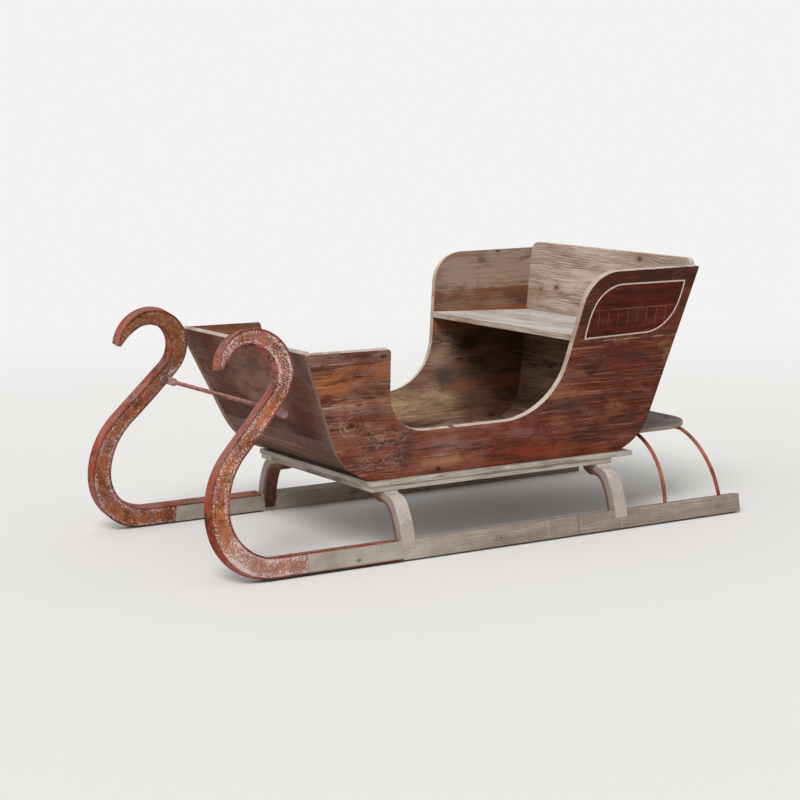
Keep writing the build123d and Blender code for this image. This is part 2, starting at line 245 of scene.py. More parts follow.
class Finish(Nodes):
    """A material under way, in the object's own coordinates."""

    def __init__(self, name):
        self.material = bpy.data.materials.new(name)
        self.material.use_nodes = True
        super().__init__(self.material.node_tree)
        self.place = self.node("ShaderNodeTexCoord", output="Object")
        self.axes = self.x, self.y, self.z = self.parts(self.place)

    def parts(self, vector):
        """The three parts of a vector or a colour."""
        split = self.node("ShaderNodeSeparateXYZ", None, {0: vector}).socket.node
        return tuple(Tone(self, socket) for socket in split.outputs)

    def vector(self, x, y, z):
        return self.node("ShaderNodeCombineXYZ", None, {0: x, 1: y, 2: z})

    def length(self, vector):
        return self.node("ShaderNodeVectorMath", {"operation": "LENGTH"}, {0: vector}, "Value")

    def moved(self, vector, step):
        return self.node("ShaderNodeVectorMath", {"operation": "ADD"}, {0: vector, 1: step})

    def noise(self, scale, detail=2.0, rough=0.5, twist=0.0, place=None, step=None):
        """Noise at one scale or at one for each axis, as grains to the metre."""
        vector = self.node("ShaderNodeVectorMath", {"operation": "MULTIPLY"}, {
            0: place or self.place, 1: scale if isinstance(scale, tuple) else (scale,) * 3})
        if step:
            vector = self.moved(vector, step)
        return self.node("ShaderNodeTexNoise", None, {
            "Vector": vector, "Scale": 1.0, "Detail": detail, "Roughness": rough,
            "Distortion": twist})

    def cells(self, vector, output):
        return self.node("ShaderNodeTexVoronoi", {"voronoi_dimensions": "2D"},
                         {"Vector": vector, "Scale": 1.0}, output)

    def ramp(self, value, *stops):
        return self.node("ShaderNodeValToRGB", {"stops": stops}, {0: value})

    def layered(self, colour, *layers):
        """A colour with other tints laid over it in order, each through its mask."""
        for tint, mask in layers:
            colour = self.node("ShaderNodeMix", {"data_type": "RGBA"},
                               {0: mask, 6: colour, 7: tint}, 2)
        return colour

    def facing(self, axis):
        """How far the surface looks along an axis, from -1 to 1."""
        return self.parts(self.node("ShaderNodeNewGeometry", output="Normal"))[axis]

    def carried(self, name):
        """A number from 0 to 1 that the boards or the corners of a piece carry."""
        return self.node("ShaderNodeAttribute", {"attribute_name": name}, output="Fac")

    def left(self):
        """1 on the left half of the sleigh and 0 on the right half."""
        return self.y.above(-0.01, 0.01)

    def finished(self, colour, roughness, shine, height, strength):
        """The material, with its colour, gloss and relief on the shader."""
        self.feed("Principled BSDF", "Base Color", colour)
        self.feed("Principled BSDF", "Roughness", roughness)
        bump = self.node("ShaderNodeBump", None, {
            "Height": height, "Distance": RELIEF_DEPTH, "Strength": strength})
        self.feed("Principled BSDF", "Normal", bump)
        self.tree.nodes["Principled BSDF"].inputs["Specular IOR Level"].default_value = shine
        return self.material


def shade(tint, share):
    """A tint made darker, or lighter where the share is over 1."""
    return tuple(share * part for part in tint)


# Finishes
def wood(name, along, through, dark, middle, light, pale, figure=1.0, wear=0.45, knots=0.0,
         gloss=0.75, shine=0.12, scratches=0.5, saw=0.0, plank=0.25, lines=0.18,
         ring=420.0, thin=0.2, cracks=0.55, patches=None):
    """Reclaimed board: tones, growth lines, fibres, knots, wear and scratches along one axis."""
    paint = Finish(name)
    board = paint.carried("board")
    place = paint.moved(paint.place, paint.vector(board * 7.0, board * 3.0, board * 5.0))
    run, across = paint.axes[along], paint.axes[3 - along - through]

    def grain(long, wide, *kind):
        """Noise drawn out along the boards: grains to the metre along them and across."""
        scale = [wide] * 3
        scale[along] = long
        return paint.noise(tuple(scale), *kind, place=place)

    # Knots: a few of the cells of a coarse pattern, with a ragged rim and a paler collar
    blotch = paint.noise((7.0, 7.0, 10.0), 4.0, 0.62, place=place)
    flat = paint.vector((run + board * 7.0) * 3.6, (across + board * 5.0) * 6.5, 0.0)
    knot_field = paint.cells(flat, "Distance")
    chosen = paint.parts(paint.cells(flat, "Color"))[0].above(0.52, 0.54)
    ragged = knot_field + (blotch - 0.5) * 0.06
    knot = ragged.below(0.034, 0.05) * chosen
    collar = ragged.below(0.07, 0.1) * chosen
    bend = knot_field.below(0.06, 0.42) * chosen

    # Growth lines, which sway and go round the knots, and finer marks along the boards
    sway = grain(1.5, 6.0)
    drift = grain(1.6, 30.0)
    rings = (across * ring + sway * 46.0 + drift * 9.0 + bend * 14.0 + board * 40.0).sine()
    tones = grain(3.4, 15.0, 5.0, 0.66, 0.6)
    streak = grain(3.2, 150.0, 2.0, 0.6, 0.2)
    fibre = grain(15.0, 480.0, 2.0, 0.7)
    teeth = grain(420.0, 9.0)

    growth = rings.above(thin, 1.0) * streak.above(0.4, 0.62)
    depth = ((tones - 0.5) * 1.9 * figure - growth * lines * figure
             + (streak - 0.5) * 0.9 * figure + (fibre - 0.5) * 0.85 + (teeth - 0.5) * saw
             + (board - 0.5) * plank - collar * 0.3 * knots + 0.55)
    worn = (blotch + (streak - 0.5) * 0.6 + (fibre - 0.5) * 0.7).above(
        0.8 - 0.3 * wear, 0.96 - 0.3 * wear)
    cut = grain(6.0, 300.0, 1.0, 0.4).above(0.62, 0.67) * blotch.above(0.42, 0.6)
    crack = grain(2.2, 210.0, 2.0, 0.5, 0.1).above(0.655, 0.7)
    colour = paint.layered(
        paint.ramp(depth, (0.12, dark), (0.52, middle), (0.92, light)),
        (pale, worn * 0.75), (pale, cut * scratches), (shade(dark, 0.5), crack * cracks),
        *(patches(paint, grain, blotch, streak, fibre) if patches else ()),
        (shade(dark, 0.4), knot * knots))
    return paint.finished(
        colour, fibre * 0.25 + worn * 0.12 + (gloss - 0.12), shine,
        fibre * 0.6 - rings * 0.15 + streak * 0.3 + teeth * saw - cut * 0.5 - knot * 0.4, 0.7)


def rust(name, deep, main, fleck, flecks=0.5, speckle=220.0, even=0.0, rim=None,
         worn=None, top_wear_and_highlight=0.0, belly=None, ground_shade=None, ends=None, faded=None):
    """Rusted steel: clouds of rust, pitting and pale flecks, denser towards a plate's rim."""
    paint = Finish(name)
    x, y, z = paint.axes
    clouds = paint.noise(13.0, 4.0, 0.62, 0.5)
    grit = paint.noise(speckle * 0.35, 3.0, 0.65, 0.5)
    pits = paint.noise(speckle, 2.0, 0.7)
    colour = paint.ramp((clouds - 0.5) * 2.4 + (grit - 0.5) * 0.7 + (pits - 0.5) * 0.45 + 0.5,
                        (0.15, deep), (0.52, main), (0.88, shade(main, 1.35)))
    if belly:
        colour = paint.layered(
            colour, (belly, z.below(0.2, 0.42) * clouds.above(0.4, 0.58) * 0.8))
    zone = paint.noise(10.0, 2.0, 0.5, 0.3).above(0.38, 0.62)
    crowd = zone * (1.0 - even) + even
    if rim:
        edge = paint.carried("rim")
        stains = paint.noise(12.0, 3.0, 0.6, 0.8)
        colour = paint.layered(
            colour, (rim, (stains + edge * 0.1).above(0.52, 0.62) * 0.8),
            (shade(main, 0.45), stains.below(0.36, 0.44) * 0.6))
        crowd = zone * 0.35 + edge.above(0.15, 0.9) * 0.62
    if faded:
        far, high = 1 - paint.left(), z.above(0.5, 0.64)
        near_bolt = blot(paint, (0.73, 0.532), (0.055, 0.04), 1.0) * far
        top = (1 - far) * high
        heel = (1 - far) * z.below(0.07, 0.2) * zone.either(0.6)
        colour = paint.layered(
            colour, (faded, near_bolt * 0.65),
            (shade(main, 0.55), far * (z.above(0.5, 0.66) * 0.5 + 0.25) * (0.9 - near_bolt)),
            ((0.37, 0.165, 0.052), far * high * grit.above(0.42, 0.6) * (1 - near_bolt) * 0.6),
            ((0.33, 0.125, 0.09), top * (clouds.above(0.35, 0.6) * 0.4 + 0.2)),
            (faded, heel * 0.8))
        crowd = (crowd * (1 - far * z.above(0.35, 0.6) * 0.45) + near_bolt * 0.4 + heel * 0.5
                 + top * (0.25 - x.above(0.75, 0.8) * 0.35))
    start = 0.635 - crowd * 0.15
    spots = (pits * 0.8 + grit * 0.2).above(start, start + 0.03)
    layers = [(fleck, spots * flecks)]
    if rim:
        layers.append((shade(deep, 0.5), edge.above(0.93, 0.99) * 0.7))
    # Pale tint on the faces that look up: partly rubbed steel, partly painted highlight
    if worn:
        up = paint.facing(2).above(0.1, 0.85)
        rubbed = paint.noise((14.0, 40.0, 14.0), 4.0, 0.65).above(0.38, 0.62)
        layers.append((worn, up * (rubbed * 0.85 + 0.15) * top_wear_and_highlight))
    if ends:
        tip = y.size().above(0.343, 0.35)
        layers.append((ends, tip * (grit.above(0.38, 0.58) * 0.5 + 0.4)))
    # Painted shade: darker just above the floor
    if ground_shade:
        layers.append((ground_shade, z.below(0.006, 0.016)))
    return paint.finished(paint.layered(colour, *layers), pits * 0.3 + 0.6, 0.12,
                          pits * 0.7 + grit * 0.8, 0.9)


def plain_floor(name, tint, reach):
    """Pale floor that fades into the backdrop away from the sleigh."""
    paint = Finish(name)
    surface = paint.tree.nodes["Principled BSDF"]
    surface.inputs["Base Color"].default_value = (*tint, 1)
    surface.inputs["Roughness"].default_value = 0.9
    glow = paint.node("ShaderNodeEmission", None, {"Color": BACKDROP, "Strength": 1.0})
    blend = paint.node("ShaderNodeMixShader", None, {
        0: paint.length(paint.place).above(*reach), 1: Tone(paint, surface.outputs[0]), 2: glow})
    paint.feed("Material Output", "Surface", blend)
    return paint.material


def spot(paint, middle, reach, ragged, along=0):
    """How far a point lies from a place on a board, in shares of its reach: 0 at its middle."""
    apart = paint.length(paint.vector(
        (paint.axes[along] - middle[0]) / reach[0], 0.0, (paint.z - middle[1]) / reach[1]))
    return apart + (paint.noise(24.0, 4.0, 0.65, 0.8) - 0.5) * ragged


def blot(paint, middle, reach, ragged, low=0.3, high=1.1):
    """A ragged round mark on a side: whole within low of its reach, and gone past high."""
    return spot(paint, middle, reach, ragged).below(low, high)


def band(paint, low, high, soft=0.012):
    """A level strip of a side, from one height to another."""
    return (paint.z.above(low - soft, low + soft)
            * paint.z.below(high - soft, high + soft))


def cloud(paint, step, low=0.5, high=0.62, scale=(5.0, 5.0, 9.0)):
    """Soft smeared patches about a hand wide; another step sets them elsewhere."""
    return paint.noise(scale, 5.0, 0.62, 0.8, step=(step, step * 0.7, step * 1.3)).above(low, high)


def joint_wear(paint, fibre):
    """Pale rubbed lines along the planks' joints, which differ on the two sides."""
    left, front = paint.left(), paint.x.above(0.0, 0.2)
    (_, middle, left_top), (_, _, right_top) = JOINTS[1], JOINTS[-1]
    upper = (band(paint, left_top, left_top + 0.003, 0.0015) * left
             + band(paint, right_top, right_top + 0.003, 0.0015) * (1 - left))
    lower = (band(paint, middle, middle + 0.007, 0.002) * front
             + band(paint, middle, middle + 0.003, 0.0015) * (0.6 - front * 0.6))
    patchy = paint.noise((14.0, 14.0, 3.0), 4.0, 0.65).above(0.42, 0.6)
    return (upper + lower) * patchy * fibre.above(0.25, 0.5)


def blots(paint, ragged, low, *marks, where=None):
    """Round marks of like raggedness and softness: tint, middle, reach and strength of each."""
    found = []
    for tint, middle, reach, share in marks:
        mask = blot(paint, middle, reach, ragged, low)
        found.append((tint, (where * mask if where else mask) * share))
    return found


def small_knots(paint, along, places, flat, ragged, *rings):
    """Small knots at places with a half width each: tint, inner and outer rim and strength."""
    found = []
    for middle, height, wide in places:
        apart = spot(paint, (middle, height), (wide, wide * flat), ragged, along)
        found += [(tint, apart.below(low, high) * share) for tint, low, high, share in rings]
    return found


def side_patches(paint, grain, blotch, streak, fibre):
    """The sides' placed wear and painted highlights: orange and grey bands in front, a big knot
    with a painted highlight, a pale painted highlight low at the front, pale streaks partly painted
    as glints, swirls and a red foot.
    """
    x, z, left = paint.x, paint.z, paint.left()
    front, rear = x.above(0.1, 0.42), x.below(-0.3, 0.05)
    foot = z.below(0.36, 0.46)
    rough = blotch + (streak - 0.5) * 0.8
    sawn = x.above(-0.75, -0.55) * x.below(0.26, 0.36) * z.below(0.36, 0.44)
    hatch = (x * 430.0 + z * 210.0 + blotch * 40.0).sine().above(0.35, 1.0)
    dark_lines = grain(5.0, 85.0, 4.0, 0.65, 0.4)
    pale_lines = grain(11.0, 170.0, 3.0, 0.65, 0.3)

    # The big knot, with a painted highlight on its front, and the swirls behind it
    ring = spot(paint, BIG_KNOT, (0.044, 0.036), 0.7)
    knot_rings = (ring * 15.0).sine()
    knot_highlight = ((x - BIG_KNOT[0]) * 9.0 + (BIG_KNOT[1] - z) * 12.0).above(-0.15, 0.35)
    swirl = paint.noise((17.0, 17.0, 46.0), 5.0, 0.64, 1.3)
    thread = (swirl - 0.5).size().below(0.004, 0.022)
    shake = blot(paint, (0.37, 0.385), (0.16, 0.05), 1.4, 0.35)
    heel = blot(paint, (0.37, 0.295), (0.14, 0.045), 1.4, 0.45)

    return [
        ((0.34, 0.165, 0.115), front * (rough.above(0.36, 0.62) * 0.58 + 0.17)),
        ((0.3, 0.1, 0.036), front * band(paint, 0.575, 0.64) * rough.above(0.38, 0.6) * 0.8),
        ((0.165, 0.095, 0.08), front * band(paint, 0.535, 0.578) * rough.above(0.34, 0.58) * 0.75),
        ((0.19, 0.11, 0.082), front * z.above(0.645, 0.66) * (rough.above(0.35, 0.6) * 0.5 + 0.4)),
        *blots(paint, 1.3, 0.4,
               ((0.37, 0.115, 0.026), (0.57, 0.575), (0.09, 0.045), 0.7),
               ((0.115, 0.024, 0.015), (0.43, 0.549), (0.085, 0.024), 0.8),
               ((0.16, 0.088, 0.082), (0.42, 0.483), (0.085, 0.02), 0.8),
               ((0.145, 0.034, 0.022), (0.56, 0.525), (0.06, 0.028), 0.7), where=left),
        # Painted highlight: pale pink low on the left side's curved front edge
        ((0.42, 0.25, 0.19), left * blot(paint, (0.475, 0.295), (0.075, 0.045), 1.4, 0.4)
         * rough.above(0.36, 0.58) * 0.65),
        ((0.225, 0.062, 0.033), x.above(-0.55, -0.05) * z.below(0.38, 0.5)
         * (rough.above(0.34, 0.6) * 0.6 + 0.2)),
        ((0.036, 0.014, 0.006), (1 - front) * z.above(0.6, 0.68) * rough.above(0.34, 0.64) * 0.8),
        ((0.032, 0.011, 0.004), (1 - front) * z.above(0.8, 0.84) * 0.9),
        ((0.105, 0.014, 0.008), cloud(paint, 4.1) * 0.7),
        ((0.245, 0.1, 0.04), cloud(paint, 7.7, 0.53, 0.64) * (rear * 0.2 + 0.4) * (1 - foot * 0.5)
         * (1 - rear * z.above(0.64, 0.7) * 0.8)),
        ((0.13, 0.064, 0.053), cloud(paint, 1.3, 0.53, 0.66) * z.below(0.58, 0.66) * 0.6),
        *blots(paint, 2.0, 0.2,
               ((0.25, 0.105, 0.04), (-0.552, 0.409), (0.052, 0.026), 0.6),
               ((0.06, 0.018, 0.01), (-0.552, 0.407), (0.02, 0.01), 0.7)),
        ((0.46, 0.215, 0.105), blot(paint, (0.135, 0.286), (0.115, 0.03), 1.4, 0.4)
         * (rough.above(0.3, 0.54) * 0.75 + 0.15)),
        *blots(paint, 1.6, 0.3,
               ((0.25, 0.032, 0.013), (-0.22, 0.283), (0.23, 0.026), 0.75),
               ((0.195, 0.085, 0.075), (0.122, 0.344), (0.085, 0.02), 0.7),
               ((0.205, 0.085, 0.075), (-0.173, 0.352), (0.09, 0.022), 0.7)),
        ((0.31, 0.125, 0.048), blot(paint, (-0.33, 0.47), (0.12, 0.016), 1.8) * 0.7),
        ((0.34, 0.15, 0.06), blot(paint, (-0.381, 0.626), (0.11, 0.006), 1.2) * 0.7),
        ((0.055, 0.026, 0.021), blot(paint, (-0.591, 0.579), (0.05, 0.014), 1.8) * 0.8),
        ((0.1, 0.012, 0.006), blot(paint, (-0.42, 0.5), (0.09, 0.03), 1.6) * 0.65),
        ((0.4, 0.19, 0.085), front * band(paint, 0.502, 0.516, 0.004)
         * rough.above(0.36, 0.58) * 0.75),
        ((0.275, 0.145, 0.125), foot * x.above(-0.12, 0.02) * x.below(0.3, 0.42)
         * cloud(paint, 2.6, 0.42, 0.6) * 0.6),
        ((0.03, 0.014, 0.009), cloud(paint, 9.9, 0.55, 0.66, (4.0, 4.0, 22.0)) * 0.7),
        ((0.27, 0.06, 0.024), z.below(0.262, 0.29) * rough.above(0.36, 0.6) * 0.6),
        ((0.04, 0.019, 0.015), blot(paint, (0.285, 0.325), (0.042, 0.07), 1.2, 0.4)
         * rough.above(0.34, 0.56) * 0.75),
        ((0.34, 0.17, 0.12), sawn * hatch * rough.above(0.42, 0.62) * 0.24),
        ((0.042, 0.016, 0.01), dark_lines.above(0.54, 0.68) * 0.7),
        # Pale streaks along the grain, stronger at the front: partly pale grain, partly painted
        # glints
        ((0.5, 0.29, 0.2), pale_lines.above(0.58, 0.7) * (front * 0.5 + 0.12)),
        ((0.042, 0.024, 0.021), shake * swirl.above(0.44, 0.6) * 0.85),
        ((0.46, 0.31, 0.255), (shake + heel) * thread * fibre.above(0.32, 0.58) * 0.75),
        ((0.11, 0.022, 0.016), left * ring.below(0.8, 1.15) * knot_rings.above(-0.4, 0.8) * 0.85),
        # Painted highlight on the front and lower part of the big knot's rim
        ((0.46, 0.26, 0.22), left * knot_highlight * ring.above(0.3, 0.55) * ring.below(1.05, 1.4)
         * knot_rings.above(0.0, 0.9) * rough.above(0.36, 0.56) * 0.65),
        ((0.04, 0.014, 0.011), left * ring.below(0.15, 0.4) * 0.8),
        ((0.46, 0.33, 0.23), joint_wear(paint, fibre) * 0.75),
    ]


def backrest_patches(paint, grain, blotch, streak, fibre):
    """A browner left half, pale streaks, a brown lower right corner and three knots."""
    pale_lines = grain(5.0, 120.0, 3.0, 0.62, 0.5)
    corner = paint.y.below(-0.42, -0.24) * paint.z.below(0.7, 0.78)
    return [
        ((0.23, 0.16, 0.115), paint.y.above(0.0, 0.3) * (blotch.above(0.36, 0.58) * 0.35 + 0.15)),
        ((0.66, 0.59, 0.525), pale_lines.above(0.56, 0.68) * 0.55),
        ((0.31, 0.19, 0.12), corner * (blotch.above(0.36, 0.6) * 0.5 + 0.1)),
        *small_knots(
            paint, 1, BACKREST_KNOTS, 0.62, 1.0,
            ((0.24, 0.15, 0.105), 0.8, 2.4, 0.65), ((0.065, 0.04, 0.03), 0.35, 0.95, 0.85)),
    ]


def inner_patches(paint, grain, blotch, streak, fibre):
    """Inside of the sides: tan plank on top, red-brown below it, smeared, darker with painted shade
    under the seat, and paler with painted light low by the doorway.
    """
    x, z = paint.x, paint.z
    rough = blotch + (streak - 0.5) * 0.8
    return [
        ((0.31, 0.225, 0.175), z.above(0.744, 0.747) * (rough.above(0.32, 0.6) * 0.55 + 0.35)),
        ((0.125, 0.036, 0.018), band(paint, 0.61, 0.745, 0.002)
         * (rough.above(0.35, 0.62) * 0.5 + 0.4)),
        # Painted shade under the seat, towards the rear and low on the inside walls
        ((0.115, 0.05, 0.03), x.below(-0.46, -0.34) * z.below(0.59, 0.61)
         * (rough.above(0.3, 0.6) * 0.4 + 0.35)),
        ((0.05, 0.026, 0.017), x.below(-0.5, -0.28) * band(paint, 0.36, 0.61, 0.05)
         * (rough.above(0.34, 0.6) * 0.3 + 0.4)),
        # Painted light: paler low on the inside walls by the doorway
        ((0.56, 0.37, 0.215), band(paint, 0.29, 0.385, 0.02) * x.above(-0.42, -0.3)
         * (rough.above(0.36, 0.6) * 0.5 + 0.4)),
        ((0.2, 0.085, 0.05), cloud(paint, 3.3) * 0.5),
        ((0.06, 0.035, 0.022), cloud(paint, 8.8, 0.54, 0.66, (4.0, 4.0, 18.0)) * 0.6),
        ((0.26, 0.105, 0.055), band(paint, 0.375, 0.425) * rough.above(0.4, 0.6) * 0.8),
        ((0.075, 0.058, 0.055), blot(paint, (-0.358, 0.433), (0.075, 0.038), 1.8) * 0.8),
        ((0.42, 0.33, 0.26), joint_wear(paint, fibre) * 0.5),
        ((0.115, 0.075, 0.06), blot(paint, (-0.581, 0.851), (0.024, 0.015), 0.9, 0.3, 1.2) * 0.8),
        # Painted shade: a near-black blot under the seat
        ((0.022, 0.014, 0.01), blot(paint, (-0.47, 0.55), (0.07, 0.035), 2.2, 0.2, 1.0) * 0.8),
        ((0.46, 0.36, 0.26), blot(paint, (-0.385, 0.56), (0.06, 0.035), 2.0)
         * fibre.above(0.45, 0.62) * 0.6),
        ((0.25, 0.074, 0.026), band(paint, 0.6, 0.675, 0.01) * rough.above(0.32, 0.56) * 0.75),
    ]


def leaf_patches(paint, grain, blotch, streak, fibre):
    """Thin pale saw lines that cross the grain in the lower half of the leaf."""
    x, z = paint.x, paint.z
    ragged = paint.noise((22.0, 22.0, 9.0))
    tooth = (x * 157.0 + ragged * 0.8).sine().above(0.97, 0.998) * z.below(0.74, 0.756)
    return [((0.11, 0.026, 0.018), cloud(paint, 5.2) * 0.5),
            ((0.3, 0.15, 0.11), tooth * (z + ragged * 0.05).above(0.715, 0.73) * 0.4),
            ((0.28, 0.12, 0.07), band(paint, 0.75, 0.753, 0.0015) * ragged.above(0.38, 0.55) * 0.6)]


def edge_patches(paint, grain, blotch, streak, fibre):
    """Edges: paler with a painted highlight where they look up, browner with painted shade where
    they don't, and a knot on the left one.
    """
    # Painted light and shade: paler where the edges face up, browner where they don't
    up = paint.facing(2).above(-0.2, 0.75)
    return [((0.62, 0.54, 0.475), up * (blotch.above(0.36, 0.56) * 0.4 + 0.2)),
            ((0.225, 0.14, 0.098), (1 - up) * (blotch * 0.5 + 0.42)),
            ((0.16, 0.1, 0.072), blotch.above(0.56, 0.66) * 0.55),
            ((0.205, 0.118, 0.08),
             paint.facing(0).above(0.3, 0.7) * paint.x.above(0.3, 0.38) * 0.75),
            ((0.06, 0.032, 0.022),
             paint.left() * blot(paint, (0.108, 0.399), (0.012, 0.02), 0.5, 0.7, 1.0) * 0.85)]


def hole_shade_patches(paint, grain, blotch, streak, fibre):
    """Dark rings of painted shade round the footboard's two holes."""
    apart = paint.length(paint.vector(paint.x - HOLE[0], paint.y.size() - HOLE[1], 0.0))
    return [((0.015, 0.012, 0.01), apart.below(0.0085, 0.012))]


def runner_patches(paint, grain, blotch, streak, fibre):
    """The beams' paler front stretch, pale saw marks across, a stain and three knots."""
    bars = paint.noise((42.0, 42.0, 3.0), 3.0, 0.6)
    stain = (paint.x + 0.326).size().below(0.002, 0.005)
    return [
        ((0.43, 0.385, 0.335), paint.x.above(-0.05, 0.35) * (blotch.above(0.35, 0.6) * 0.5 + 0.3)),
        ((0.46, 0.41, 0.36), bars.above(0.57, 0.7) * 0.28),
        ((0.17, 0.13, 0.108), bars.below(0.28, 0.42) * 0.3),
        ((0.12, 0.085, 0.07), stain * 0.5),
        *small_knots(
            paint, 0, RUNNER_KNOTS, 0.6, 1.3, ((0.185, 0.125, 0.098), 0.5, 1.5, 0.75),
            ((0.33, 0.265, 0.22), 0.4, 0.75, 0.5), ((0.065, 0.042, 0.034), 0.15, 0.5, 0.85)),
    ]


def strut_patches(paint, grain, blotch, streak, fibre):
    """Darker sawn faces, a painted highlight that makes the upper broad faces paler, a brown foot
    at the deck, and rust that has run from the iron.
    """
    near, sawn = paint.carried("rim"), paint.facing(0).size().above(0.6, 0.9)
    under = paint.y.size().below(0.34, 0.372) * paint.z.above(0.165, 0.18)
    return [((0.255, 0.2, 0.165), sawn * 0.7),
            # Painted highlight: paler upper broad faces
            ((0.54, 0.49, 0.45),
             (1 - sawn) * paint.z.above(0.11, 0.15) * blotch.above(0.36, 0.56) * 0.7),
            ((0.3, 0.275, 0.262),
             (1 - sawn) * cloud(paint, 2.2, 0.44, 0.58, (9.0, 9.0, 15.0)) * 0.65),
            ((0.44, 0.355, 0.28), (1 - sawn) * paint.z.below(0.085, 0.115) * 0.6),
            ((0.165, 0.082, 0.056), sawn * under * 0.85),
            ((0.145, 0.058, 0.04), (near + (blotch - 0.5) * 0.6).above(0.3, 0.6) * 0.85)]


def dash_patches(paint, grain, blotch, streak, fibre):
    """Rubbed pinkish-grey wipes over red-brown, with pale specks that are painted glints, worn ends
    and a foot darkened by painted shade.
    """
    y, wide = paint.y, (4.5, 3.2, 5.0)
    end, middle = y.size().above(0.25, 0.42), (y + 0.02).size().below(0.1, 0.24)
    glint_specks = paint.noise((60.0, 26.0, 60.0), 3.0, 0.6)
    return [
        ((0.12, 0.03, 0.015), cloud(paint, 0.0, 0.42, 0.62, wide) * 0.8),
        ((0.125, 0.082, 0.074), cloud(paint, 3.7, 0.46, 0.66, wide) * 0.8),
        ((0.245, 0.125, 0.085), middle * cloud(paint, 6.1, 0.4, 0.64, wide) * 0.7),
        ((0.03, 0.011, 0.009), cloud(paint, 9.3, 0.5, 0.7, (4.0, 4.0, 12.0)) * 0.6),
        # Painted shade: darker at the foot of the dash, between its ends
        ((0.042, 0.015, 0.01), paint.z.below(0.41, 0.475) * y.size().below(0.22, 0.38)
         * (blotch.above(0.34, 0.56) * 0.5 + 0.25)),
        ((0.22, 0.115, 0.08), end * (blotch + (streak - 0.5) * 0.7).above(0.42, 0.62) * 0.45),
        ((0.165, 0.098, 0.08), y.above(0.28, 0.4) * (blotch.above(0.36, 0.58) * 0.5 + 0.2)),
        # Painted glints: pale specks on the wipes
        ((0.36, 0.25, 0.21), glint_specks.above(0.66, 0.71) * cloud(paint, 3.7, 0.46, 0.58, wide) * 0.45),
    ]


def bend_patches(paint, grain, blotch, streak, fibre):
    """Below the dash: a grey band, a rubbed ridge, and brown that painted shade darkens towards the
    deck.
    """
    return [
        ((0.15, 0.092, 0.08), paint.z.above(0.336, 0.345) * (blotch.above(0.34, 0.6) * 0.5 + 0.35)),
        # Painted shade: darker towards the deck
        ((0.06, 0.026, 0.014), paint.z.below(0.265, 0.325) * 0.8),
        ((0.36, 0.205, 0.145), band(paint, 0.331, 0.337, 0.002) * streak.above(0.3, 0.6) * 0.7),
    ]


